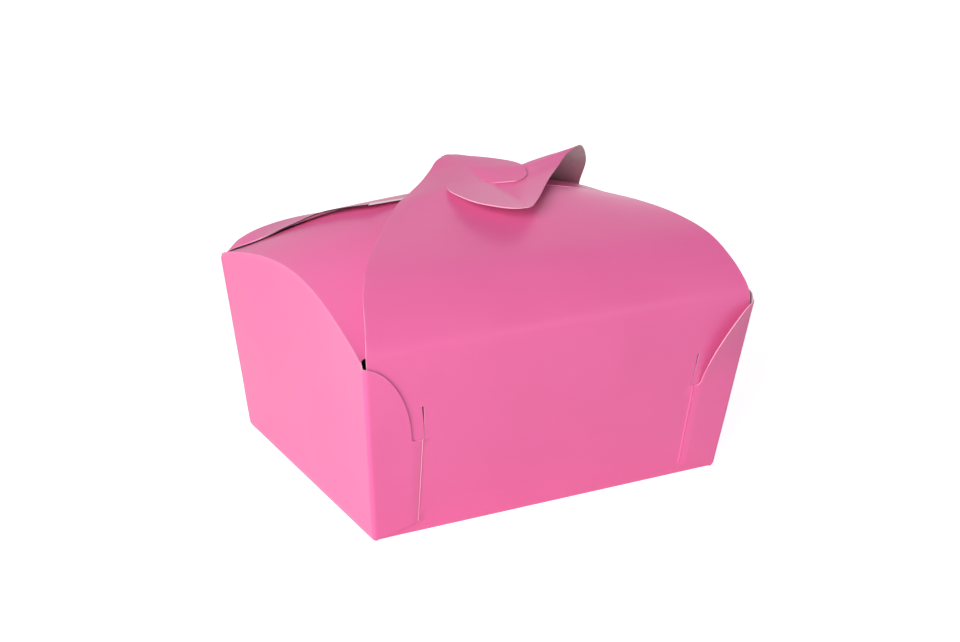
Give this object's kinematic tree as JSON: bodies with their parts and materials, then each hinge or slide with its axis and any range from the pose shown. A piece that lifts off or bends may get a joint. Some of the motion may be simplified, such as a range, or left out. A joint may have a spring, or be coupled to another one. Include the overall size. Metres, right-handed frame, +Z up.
{
  "type": "cake box",
  "caption": "Folded board cake box with sloping walls, hooked corner ears, curved end flaps and two domed top flaps that lock with half-round tongues.",
  "frame": {"origin": "centre of the base's underside", "axes": "+X along the length towards the right end wall, +Y towards the back wall, +Z up"},
  "size_m": [0.2002, 0.1614, 0.1439],
  "materials": {
    "coated_board": "satin coated board, pink outside and white inside"
  },
  "bodies": {
    "root": {"carton": "coated_board"}
  },
  "joints": []
}
